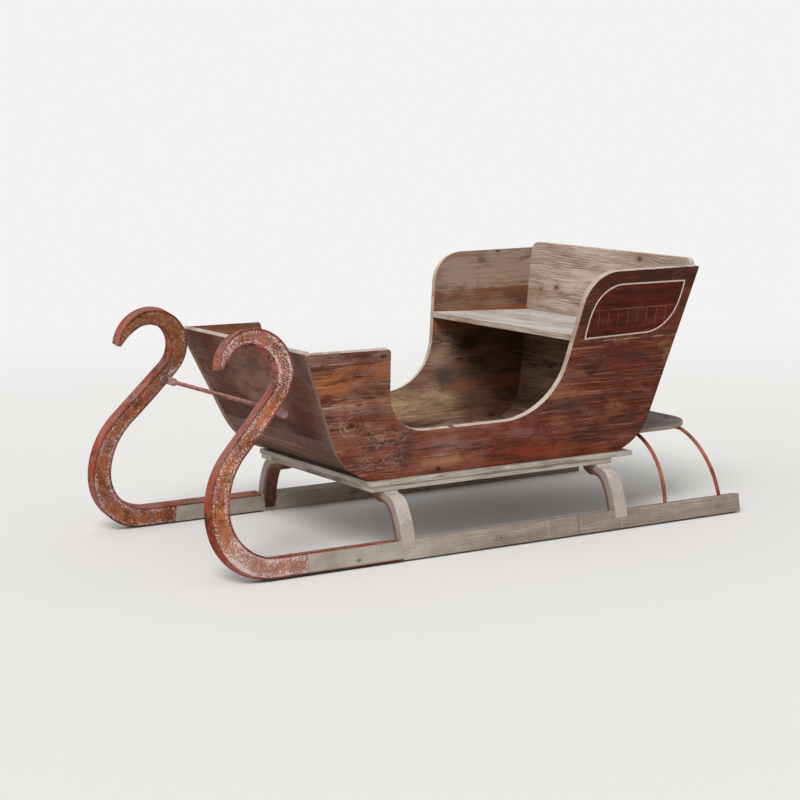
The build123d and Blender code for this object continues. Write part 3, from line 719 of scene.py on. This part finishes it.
def make_finishes(colours):
    """All finishes of the sleigh, by a maker's plain names."""
    stain, bare, red = tuple(colours.stain), tuple(colours.bare), tuple(colours.rust)
    deep = shade(stain, 0.3)
    return {
        "stained": wood("stained side boards", 0, 1, deep, stain, (0.215, 0.062, 0.027),
            (0.44, 0.28, 0.21), figure=1.25, wear=0.28, gloss=0.5, shine=0.12, saw=0.2,
            scratches=0.45, plank=0.2, patches=side_patches, knots=0.7),
        "leaf": wood("maroon leaf", 0, 1, (0.024, 0.006, 0.004), (0.076, 0.011, 0.005),
            (0.16, 0.028, 0.013), (0.22, 0.1, 0.07), wear=0.2, gloss=0.58, shine=0.08,
            scratches=0.15, patches=leaf_patches),
        # The routed line: pale bare wood, made paler still as painted light against the shade in
        # its groove
        "line": wood("routed line", 0, 1, (0.56, 0.44, 0.36), (0.76, 0.66, 0.58),
            (0.84, 0.77, 0.71), (0.86, 0.8, 0.75), figure=0.3, wear=0.4, scratches=0.2),
        "inner": wood("inside of the sides", 0, 1, (0.1, 0.05, 0.032), (0.27, 0.165, 0.11),
            (0.4, 0.275, 0.2), (0.48, 0.39, 0.32), wear=0.4, plank=0.1, patches=inner_patches,
            knots=0.7),
        "bare": wood("bare edges", 1, 2, (0.29, 0.205, 0.155), bare, (0.56, 0.48, 0.41),
            (0.64, 0.58, 0.53), figure=0.5, wear=0.5, scratches=0.3, patches=edge_patches),
        "dash": wood("dash boards", 1, 0, (0.03, 0.01, 0.005), (0.078, 0.026, 0.014),
            (0.15, 0.062, 0.036), (0.27, 0.15, 0.1), figure=0.65, wear=0.25, gloss=0.6,
            shine=0.08, scratches=0.35, knots=0.3, patches=dash_patches),
        "bend": wood("bend boards", 1, 0, (0.035, 0.014, 0.008), (0.12, 0.058, 0.038),
            (0.2, 0.11, 0.078), (0.3, 0.195, 0.15), figure=0.8, wear=0.3, gloss=0.65, shine=0.06,
            scratches=0.4, patches=bend_patches),
        "floor": wood("floor boards", 1, 2, (0.1, 0.052, 0.032), (0.25, 0.15, 0.094),
            (0.38, 0.25, 0.17), (0.48, 0.38, 0.3), knots=0.7),
        "shell": wood("rear boards", 1, 0, (0.06, 0.03, 0.02), (0.17, 0.098, 0.066),
            (0.29, 0.19, 0.14), (0.4, 0.31, 0.25), wear=0.4, knots=0.7),
        "backrest": wood("backrest boards", 1, 0, (0.14, 0.08, 0.052), (0.35, 0.265, 0.208),
            (0.5, 0.42, 0.355), (0.62, 0.55, 0.49), figure=0.7, wear=0.35, lines=0.6, ring=760.0,
            thin=0.45, patches=backrest_patches),
        "seat": wood("seat boards", 1, 2, (0.25, 0.21, 0.18), (0.52, 0.48, 0.435),
            (0.65, 0.62, 0.58), (0.74, 0.71, 0.68), figure=0.7, lines=0.45, ring=640.0, thin=0.4),
        "seat edge": wood("seat's front edge", 1, 0, (0.14, 0.092, 0.062), (0.32, 0.245, 0.185),
            (0.46, 0.39, 0.32), (0.6, 0.54, 0.48), knots=0.2),
        "deck": wood("deck boards", 0, 2, (0.16, 0.126, 0.1), (0.41, 0.362, 0.312),
            (0.54, 0.49, 0.435), (0.63, 0.58, 0.53), figure=0.8, knots=0.3, lines=0.2),
        "cross": wood("end boards", 1, 2, (0.13, 0.098, 0.074), (0.33, 0.28, 0.228),
            (0.46, 0.405, 0.345), (0.56, 0.51, 0.45), figure=0.8, knots=0.3, lines=0.2),
        "runner": wood("runner beams", 0, 1, (0.17, 0.13, 0.102), (0.262, 0.212, 0.174),
            (0.36, 0.3, 0.256), (0.5, 0.44, 0.39), figure=0.6, wear=0.4, saw=0.35, lines=0.25,
            ring=520.0, thin=0.4, patches=runner_patches),
        "strut": wood("sawn struts", 2, 0, (0.24, 0.19, 0.155), (0.425, 0.368, 0.322),
            (0.52, 0.47, 0.42), (0.6, 0.56, 0.52), figure=0.55, wear=0.3, saw=0.12, lines=0.3,
            ring=560.0, thin=0.4, cracks=0.3, patches=strut_patches),
        # Footboard: painted shade round its holes
        "footboard": wood("footboard", 1, 2, (0.078, 0.06, 0.051), (0.205, 0.168, 0.15),
            (0.3, 0.265, 0.245), (0.4, 0.37, 0.35), figure=0.8, wear=0.35, knots=0.3,
            patches=hole_shade_patches),
        "plate": rust("speckled neck plates", shade(red, 0.3), red,
            (0.66, 0.53, 0.49), flecks=0.85, speckle=230.0, rim=(0.225, 0.1, 0.088),
            faded=(0.38, 0.22, 0.185)),
        # Straps: the worn tint on their upward faces is partly painted highlight
        "strap": rust("oxide-red straps", (0.068, 0.014, 0.008), (0.215, 0.037, 0.017),
            (0.48, 0.3, 0.26), flecks=0.4, speckle=200.0, even=0.2, worn=(0.31, 0.15, 0.132),
            # The straps' tint at their lowest edge is painted shade
            top_wear_and_highlight=0.75, belly=(0.265, 0.045, 0.018), ground_shade=(0.055, 0.03, 0.024)),
        "iron": rust("strut irons", (0.05, 0.02, 0.014), (0.135, 0.05, 0.033),
            (0.26, 0.14, 0.11)),
        "hoop": rust("salmon hoops", (0.12, 0.032, 0.02), (0.3, 0.082, 0.045), (0.5, 0.25, 0.19),
            flecks=0.4, speckle=240.0),
        # Crossbar: the worn tint on its upper faces is partly painted highlight
        "bar": rust("crossbar", (0.1, 0.032, 0.026), (0.25, 0.085, 0.068), (0.45, 0.29, 0.26),
            worn=(0.42, 0.26, 0.235), top_wear_and_highlight=0.8, ends=(0.47, 0.32, 0.285)),
        "screw": rust("screws and bolts", (0.05, 0.024, 0.018), (0.16, 0.075, 0.055),
            (0.32, 0.25, 0.22), speckle=500.0),
    }


FINISHES = {}


# Pieces from the frame
def merged(node):
    """A closed bmesh of a CAD node, with its flat faces whole."""
    shape = bmesh.new()
    shape.from_mesh(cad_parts[node].data)
    bmesh.ops.remove_doubles(shape, verts=shape.verts, dist=MERGE)
    bmesh.ops.dissolve_limit(shape, angle_limit=FLAT, verts=shape.verts, edges=shape.edges)
    return shape


def round_edges(shape, radius, spare=None):
    """Bevels the sharp edges, apart from those that spare names."""
    sharp = [edge for edge in shape.edges
             if len(edge.link_faces) == 2 and edge.calc_face_angle() > SHARP
             and not (spare and spare(edge))]
    bmesh.ops.bevel(shape, geom=sharp, offset=radius, offset_type="OFFSET", segments=2,
                    profile=0.5, affect="EDGES", material=-1, clamp_overlap=True)


def islands(shape):
    """The faces of each separate board."""
    left, found = set(shape.faces), []
    while left:
        start = left.pop()
        group, rim = [start], [start]
        while rim:
            for edge in rim.pop().edges:
                for face in edge.link_faces:
                    if face in left:
                        left.remove(face)
                        group.append(face)
                        rim.append(face)
        found.append(group)
    return found


def number_boards(shape, seed, axis=0):
    """Gives each board its own number, in order along an axis, and along X where two tie."""
    def order(group):
        middles = [face.calc_center_median() for face in group]
        return [round(sum(middle[way] for middle in middles) / len(group), 4)
                for way in (axis, 0, 2)]

    layer = shape.faces.layers.float.get("board") or shape.faces.layers.float.new("board")
    for index, group in enumerate(sorted(islands(shape), key=order)):
        for face in group:
            face[layer] = (seed + index * BOARD_STEP) % 1.0


def largest_normal(group):
    return max(group, key=lambda face: face.calc_area()).normal.copy()


def dress(name, shape, node, materials, smooth=22.0):
    """Makes a piece of a bmesh, which rides on the frame in the place of its CAD node."""
    mesh = bpy.data.meshes.new(name)
    shape.to_mesh(mesh)
    shape.free()
    for material in materials:
        mesh.materials.append(FINISHES[material])
    for face in mesh.polygons:
        face.use_smooth = True
    mesh.set_sharp_from_angle(angle=radians(smooth))
    piece = bpy.data.objects.new(name, mesh)
    bpy.context.scene.collection.objects.link(piece)
    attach(piece, "root")
    if node:
        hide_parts(node)


def close_gaps(shape, widest, meets=None):
    """Moves facing narrow sides of neighbouring boards together, so that no light leaks.

    The outermost sides whose normals pass the test in meets move half a gap to the next group."""
    groups = islands(shape)
    narrow = []
    for index, group in enumerate(groups):
        broad = largest_normal(group)
        narrow += [(index, face, face.calc_center_median(), face.normal.copy())
                   for face in group if abs(face.normal.dot(broad)) < NARROW]
    for index, face, centre, normal in narrow:
        for other, _, facing, back in narrow:
            step = facing - centre
            gap = step.dot(normal)
            if (other != index and normal.dot(back) < -SAME_WAY and 0 < gap < widest
                    and (step - normal * gap).length < ASIDE):
                bmesh.ops.translate(shape, verts=face.verts, vec=normal * gap / 2)
                break
        else:
            if meets and abs(normal.y) < 0.5 and meets(normal):
                bmesh.ops.translate(shape, verts=face.verts, vec=normal * widest / 4)


MEETS = {
    "dash_boards": lambda normal: normal.z < -0.3,
    "front_bend_boards": lambda normal: True,
    "floor_boards": lambda normal: abs(normal.x) > 0.5,
    "rear_bend_boards": lambda normal: True,
    "back_boards": lambda normal: normal.z < -0.3,
}


def dress_boards(node, slot, broad_finish, narrow_finish, seed, axis=0, radius=None, by_run=False):
    """Boards with worn edges, in two finishes.

    The second finish is for the narrow faces, or by run for the boards that lie across."""
    shape = merged(node)
    close_gaps(shape, bpy.context.scene.sleigh_woodwork.near_gap, MEETS.get(node))
    for group in islands(shape):
        broad = largest_normal(group)
        spans = [max(vert.co[way] for face in group for vert in face.verts)
                 - min(vert.co[way] for face in group for vert in face.verts) for way in (0, 1)]
        for face in group:
            if by_run:
                across = spans[1] > spans[0]
                end = abs(face.normal.y if across else face.normal.x) > NARROW
                face.material_index = 1 if across != end else 0
            else:
                face.material_index = 1 if abs(face.normal.dot(broad)) < NARROW else 0
    number_boards(shape, seed, axis)
    round_edges(shape, radius or bpy.context.scene.sleigh_woodwork.edge_round)
    dress(f"{node}_worn", shape, node, [broad_finish, narrow_finish])


def cut_small(shape, low, high, axes):
    """Cuts a piece into small faces, whose corners can carry a value that changes across it."""
    for axis in axes:
        way = Vector([float(index == axis) for index in range(3)])
        for step in range(1, int((high[axis] - low[axis]) / RIM_CELL) + 1):
            bmesh.ops.bisect_plane(
                shape, geom=shape.verts[:] + shape.edges[:] + shape.faces[:],
                plane_co=way * (low[axis] + step * RIM_CELL), plane_no=way, dist=MERGE)


def side_frame(side):
    """The direction out of a side's outer face, and a point on that face."""
    out = Vector((0, side * cos(SPLAY), -sin(SPLAY)))
    return out, Vector((0, side * SIDE_FOOT_Y, PLATFORM_TOP))


def planks(shape, heights):
    """Cuts a side into planks at some heights: a list of closed shapes, from the foot up."""
    limits = [-1.0, *heights, 2.0]        # the first and the last lie clear of the side
    found = []
    for low, high in zip(limits, limits[1:]):
        plank = shape.copy()
        for height, keep_up in ((low, True), (high, False)):
            cut = bmesh.ops.bisect_plane(
                plank, geom=plank.verts[:] + plank.edges[:] + plank.faces[:],
                plane_co=(0, 0, height), plane_no=(0, 0, 1), dist=PLANK_MERGE,
                clear_inner=keep_up, clear_outer=not keep_up)
            rim = [item for item in cut["geom_cut"] if isinstance(item, bmesh.types.BMEdge)]
            if rim:
                bmesh.ops.holes_fill(plank, edges=rim, sides=0)
        found.append(plank)
    return found


# Operators
class SLEIGH_OT_finishes(bpy.types.Operator):
    """Mix the finishes of wood and rusted steel"""
    bl_idname = "sleigh.finishes"
    bl_label = "Finishes"

    def execute(self, context):
        FINISHES.update(make_finishes(context.scene.sleigh_colours))
        return {"FINISHED"}


class SLEIGH_OT_sides(bpy.types.Operator):
    """Make the two splayed sides of planks, with bare edges and the routed leaf"""
    bl_idname = "sleigh.sides"
    bl_label = "Sides"

    def shallow(self, vert, out, foot):
        """True for a point of the routed line: near the outer face and near the leaf."""
        (x_low, x_high), (z_low, z_high) = LEAF
        return (x_low < vert.co.x < x_high and z_low < vert.co.z < z_high
                and (foot - vert.co).dot(out) < GROOVE_DEPTH + GROOVE_PLAY)

    def in_line(self, face, out, foot):
        """True for a wall or the floor of the routed line."""
        deep = (foot - face.calc_center_median()).dot(out) > GROOVE_PLAY
        return deep and all(self.shallow(vert, out, foot) for vert in face.verts)

    def finish_of(self, face, out, foot):
        """0 stained outside, 1 inside, 2 bare edge, 3 inside the leaf, 4 routed line."""
        if self.in_line(face, out, foot):
            return 4
        lean = face.normal.dot(out)
        if lean > SAME_WAY:
            inside = all(any(self.in_line(other, out, foot) for other in vert.link_faces)
                         for vert in face.verts)
            return 3 if inside else 0
        return 1 if lean < -SAME_WAY else 2

    def execute(self, context):
        sizes = context.scene.sleigh_woodwork
        for side, name in ((1, "left"), (-1, "right")):
            out, foot = side_frame(side)
            whole = merged(f"side_panel_{name}")
            panel = bmesh.new()
            layer = panel.faces.layers.float.new("board")
            for index, plank in enumerate(planks(whole, JOINTS[side])):
                plank.normal_update()
                for face in plank.faces:
                    face.material_index = self.finish_of(face, out, foot)
                round_edges(plank, sizes.edge_round, lambda edge: all(
                    self.shallow(vert, out, foot) for vert in edge.verts))
                mesh = bpy.data.meshes.new("plank")
                plank.to_mesh(mesh)
                plank.free()
                first = len(panel.faces)
                panel.from_mesh(mesh)
                bpy.data.meshes.remove(mesh)
                panel.faces.ensure_lookup_table()
                for face in panel.faces[first:]:
                    face[layer] = (0.31 + side * 0.17 + index * BOARD_STEP) % 1.0
            whole.free()
            dress(f"side_panel_{name}_planks", panel, f"side_panel_{name}",
                  ["stained", "inner", "bare", "leaf", "line"])
        return {"FINISHED"}


class SLEIGH_OT_body_boards(bpy.types.Operator):
    """Make the boards between the sides: dash, bends, floor, back, backrest and seat"""
    bl_idname = "sleigh.body_boards"
    bl_label = "Body Boards"

    boards = (
        # node, slot, broad faces, narrow faces, seed, axis that numbers them
        ("dash_boards", "dash_wood", "dash", "bare", 0.15, 2),
        ("front_bend_boards", "dash_wood", "bend", "bend", 0.42, 0),
        ("floor_boards", "floor_wood", "floor", "floor", 0.08, 0),
        ("rear_bend_boards", "shell_wood", "shell", "shell", 0.33, 0),
        ("back_boards", "shell_wood", "shell", "shell", 0.71, 2),
        ("backrest_boards", "backrest_wood", "backrest", "bare", 0.27, 2),
        ("seat_boards", "seat_wood", "seat", "seat edge", 0.55, 0),
    )

    def execute(self, context):
        for row in self.boards:
            dress_boards(*row)
        return {"FINISHED"}


class SLEIGH_OT_platform(bpy.types.Operator):
    """Make the platform: deck boards, rails and battens, and the footboard"""
    bl_idname = "sleigh.platform"
    bl_label = "Platform"

    boards = (
        ("deck_boards", "platform_wood", "deck", "cross", 0.36, 1),
        ("deck_rail_left", "platform_wood", "deck", "deck", 0.62, 0),
        ("deck_rail_right", "platform_wood", "deck", "deck", 0.81, 0),
        ("front_batten", "platform_wood", "cross", "cross", 0.22, 0),
        ("rear_batten", "platform_wood", "cross", "cross", 0.47, 0),
        ("footboard", "footboard_wood", "footboard", "bare", 0.5, 0),
    )

    def execute(self, context):
        for row in self.boards:
            dress_boards(*row, radius=PLATFORM_ROUND, by_run=row[0] == "deck_boards")
        return {"FINISHED"}


class SLEIGH_OT_runners(bpy.types.Operator):
    """Make the wooden runner beams and the sawn struts"""
    bl_idname = "sleigh.runners"
    bl_label = "Runners and Struts"

    def strut(self, end, side, seed):
        """A strut whose corners are marked by how near they are to its iron."""
        node = f"{end}_strut_{side}"
        shape = merged(node)
        number_boards(shape, seed)
        round_edges(shape, STRUT_ROUND)
        cut_small(shape, *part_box(node), (1, 2))
        iron = merged(f"{end}_strut_iron_{side}")
        tree = BVHTree.FromBMesh(iron)
        iron.free()
        layer = shape.verts.layers.float.new("rim")
        for vert in shape.verts:
            vert[layer] = max(0.0, 1.0 - tree.find_nearest(vert.co)[3] / RIM_REACH)
        dress(f"{node}_worn", shape, node, ["strut"])

    def execute(self, context):
        seed = 0.2
        for side in ("left", "right"):
            dress_boards(f"runner_beam_{side}", "runner_wood", "runner", "runner", seed)
            for end in ("front", "rear"):
                seed += 0.17
                self.strut(end, side, seed)
        return {"FINISHED"}


class SLEIGH_OT_steel(bpy.types.Operator):
    """Make the rusted steel: neck plates and straps, strut irons, hoops and crossbar"""
    bl_idname = "sleigh.steel"
    bl_label = "Steelwork"

    def mark_rim(self, shape, low, high):
        """Cuts the plates' broad faces small, and marks each corner by how near the rim it is."""
        layer = shape.verts.layers.float.new("rim")
        border = {edge for face in shape.faces if face.calc_area() > RIM_FACE
                  for edge in face.edges}
        border = [(edge.verts[0].co.copy(), edge.verts[1].co.copy()) for edge in border]
        cut_small(shape, low, high, (0, 2))
        for vert in shape.verts:
            nearest = RIM_REACH
            for start, end in border:
                at, share = intersect_point_line(vert.co, start, end)
                at = start if share < 0 else end if share > 1 else at
                nearest = min(nearest, (vert.co - at).length)
            vert[layer] = 1.0 - nearest / RIM_REACH

    def execute(self, context):
        radius = context.scene.sleigh_woodwork.steel_round
        nodes = [("crossbar", "crossbar_steel", "bar")]
        nodes += [(f"{end}_hoop", "hoop_steel", "hoop") for end in ("front", "rear")]
        for side in ("left", "right"):
            nodes.append((f"neck_plates_{side}", "neck_plate_steel", "plate"))
            nodes += [(f"neck_{end}_strap_{side}", "neck_strap_steel", "strap")
                      for end in ("front", "rear")]
            nodes += [(f"{end}_strut_iron_{side}", "strut_iron", "iron")
                      for end in ("front", "rear")]
        for node, slot, finish in nodes:
            shape = merged(node)
            if finish == "plate":
                self.mark_rim(shape, *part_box(node))
            else:
                round_edges(shape, radius)
            dress(f"{node}_rusted", shape, node, [finish], smooth=26.0)
        return {"FINISHED"}


class SLEIGH_OT_fixings(bpy.types.Operator):
    """Drive the screws of the strut irons and the top straps, and bolt the crossbar on"""
    bl_idname = "sleigh.fixings"
    bl_label = "Screws and Bolts"

    def stand(self, place, out):
        """Turns what is made upright at the origin to look along out at a place."""
        turn = Vector((0, 0, 1)).rotation_difference(out).to_matrix().to_4x4()
        return Matrix.Translation(place) @ turn

    def screw(self, shape, place, out, radius, turn):
        """A low round head with a sunk middle, its underside in the face at place."""
        matrix = self.stand(place, out) @ Matrix.Rotation(turn, 4, "Z")
        made = bmesh.ops.create_cone(
            shape, cap_ends=True, segments=16, radius1=radius, radius2=radius * 0.8,
            depth=radius * 0.45, matrix=matrix @ Matrix.Translation((0, 0, radius * 0.2)))
        top = max({face for vert in made["verts"] for face in vert.link_faces},
                  key=lambda face: face.calc_center_median().dot(out))
        bmesh.ops.inset_region(shape, faces=[top], thickness=radius * 0.42)
        bmesh.ops.translate(shape, verts=top.verts, vec=out * (-radius * 0.22))

    def bolt(self, shape, place, out, radius):
        """A hexagon head on a round washer that is let in a little."""
        inlet, washer, head = -0.0002, 0.0016, 0.0068        # heights over the tab
        for count, size, low, high in ((24, radius * 1.45, inlet, washer),
                                       (6, radius, washer, head)):
            made = bmesh.ops.create_cone(
                shape, cap_ends=True, segments=count, radius1=size, radius2=size, depth=high - low,
                matrix=self.stand(place, out) @ Matrix.Translation((0, 0, (low + high) / 2)))
            rim = {edge for vert in made["verts"] for edge in vert.link_edges
                   if edge.calc_face_angle() > radians(50)}
            bmesh.ops.bevel(shape, geom=list(rim), offset=0.0005, segments=2, profile=0.5,
                            affect="EDGES", material=-1)

    def execute(self, context):
        sizes = context.scene.sleigh_fixings
        shape = bmesh.new()
        for side, name in ((1, "left"), (-1, "right")):
            up = Vector((0, -side * sin(CANT), cos(CANT)))
            outward = Vector((0, side * cos(CANT), sin(CANT)))
            for end in ("front", "rear"):
                low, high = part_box(f"{end}_strut_iron_{name}")
                for step, rise in IRON_SCREWS:
                    y = side * (BEAM_INNER_Y - IRON_THICK / cos(CANT) - rise * tan(CANT))
                    place = Vector(((low.x + high.x) / 2 + step, y, rise))
                    self.screw(shape, place, -outward, sizes.screw_head, 0.4 + 30 * step)
            foot = Vector((0.0, side * BEAM_INNER_Y, 0.0))
            ahead, rise, out = STRAP_SCREW
            foot.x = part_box(f"neck_rear_strap_{name}")[0].x + ahead
            self.screw(shape, foot + up * rise + outward * out, up, sizes.screw_head, 0.7)
            reach, angle = TABS[side]
            foot.x = BAR[0] + reach * cos(angle)
            rise = BAR[1] / cos(CANT) + reach * sin(angle)
            self.bolt(shape, foot + up * rise - outward * TAB_THICK, -outward, sizes.bolt_head)
        dress("screws_and_bolts", shape, None, ["screw"], smooth=40.0)
        return {"FINISHED"}


class SLEIGH_OT_stage(bpy.types.Operator):
    """Set out the floor, the lights and the camera"""
    bl_idname = "sleigh.stage"
    bl_label = "Stage"

    def sun(self, name, towards, spread, power):
        """A wide soft sun: it stands in the direction given and lights the floor evenly."""
        light = bpy.data.lights.new(name, "SUN")
        light.angle, light.energy = radians(spread), power
        lamp = bpy.data.objects.new(name, light)
        lamp.rotation_euler = Vector(towards).to_track_quat("Z", "Y").to_euler()
        bpy.context.scene.collection.objects.link(lamp)

    def execute(self, context):
        scene, stage = context.scene, context.scene.sleigh_stage
        scene.view_settings.view_transform = "Standard"

        shape = bmesh.new()
        bmesh.ops.create_grid(shape, x_segments=1, y_segments=1, size=30.0)
        mesh = bpy.data.meshes.new("studio_floor")
        shape.to_mesh(mesh)
        shape.free()
        mesh.materials.append(plain_floor("studio floor", FLOOR_TINT, FLOOR_FADE))
        floor = bpy.data.objects.new("studio_floor", mesh)
        scene.collection.objects.link(floor)

        world = bpy.data.worlds.new("studio")
        world.use_nodes = True
        background = world.node_tree.nodes["Background"]
        background.inputs["Color"].default_value = BACKDROP
        room = Nodes(world.node_tree)
        seen = room.node("ShaderNodeLightPath", output="Is Camera Ray").either(
            room.node("ShaderNodeLightPath", output="Is Glossy Ray"))
        room.feed("Background", "Strength", room.node(
            "ShaderNodeMapRange", None, {"Value": seen, "To Min": stage.fill, "To Max": 1.0}))
        scene.world = world

        self.sun("key", (0.6, 0.62, 0.95), 24.0, stage.key)
        self.sun("front", (0.95, 0.05, 0.4), 60.0, stage.key * 0.25)

        camera = bpy.data.cameras.new("camera")
        camera.sensor_width, camera.lens = 36.0, stage.lens
        camera.shift_x, camera.shift_y = CAMERA_SHIFT
        view = bpy.data.objects.new("camera", camera)
        turn = (Matrix.Rotation(stage.azimuth, 4, "Z")
                @ Matrix.Rotation(radians(90) - stage.pitch, 4, "X")
                @ Matrix.Rotation(stage.roll, 4, "Z"))
        view.matrix_world = Matrix.Translation(stage.place) @ turn
        scene.collection.objects.link(view)
        scene.camera = view
        return {"FINISHED"}


class SLEIGH_PT_maker(bpy.types.Panel):
    """The sleigh's pieces, sizes and colours"""
    bl_idname = "SLEIGH_PT_maker"
    bl_label = "Sleigh"
    bl_space_type = "VIEW_3D"
    bl_region_type = "UI"
    bl_category = "Sleigh"

    def draw(self, context):
        for operator in OPERATORS:
            self.layout.operator(operator.bl_idname)
        for name in GROUPS:
            box = self.layout.box()
            group = getattr(context.scene, name)
            for key in group.bl_rna.properties.keys():
                if key not in ("name", "rna_type"):
                    box.prop(group, key)


GROUPS = {
    "sleigh_woodwork": SleighWoodwork,
    "sleigh_fixings": SleighFixings,
    "sleigh_colours": SleighColours,
    "sleigh_stage": SleighStage,
}
OPERATORS = (
    SLEIGH_OT_finishes, SLEIGH_OT_sides, SLEIGH_OT_body_boards, SLEIGH_OT_platform,
    SLEIGH_OT_runners, SLEIGH_OT_steel, SLEIGH_OT_fixings, SLEIGH_OT_stage,
)


def register():
    for name, group in GROUPS.items():
        bpy.utils.register_class(group)
        setattr(bpy.types.Scene, name, bpy.props.PointerProperty(type=group))
    for operator in OPERATORS:
        bpy.utils.register_class(operator)
    bpy.utils.register_class(SLEIGH_PT_maker)


def unregister():
    bpy.utils.unregister_class(SLEIGH_PT_maker)
    for operator in reversed(OPERATORS):
        bpy.utils.unregister_class(operator)
    for name, group in GROUPS.items():
        delattr(bpy.types.Scene, name)
        bpy.utils.unregister_class(group)


def main():
    register()
    bpy.ops.sleigh.finishes()
    bpy.ops.sleigh.sides()
    bpy.ops.sleigh.body_boards()
    bpy.ops.sleigh.platform()
    bpy.ops.sleigh.runners()
    bpy.ops.sleigh.steel()
    bpy.ops.sleigh.fixings()
    bpy.ops.sleigh.stage()
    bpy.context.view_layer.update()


if __name__ == "__main__":
    main()
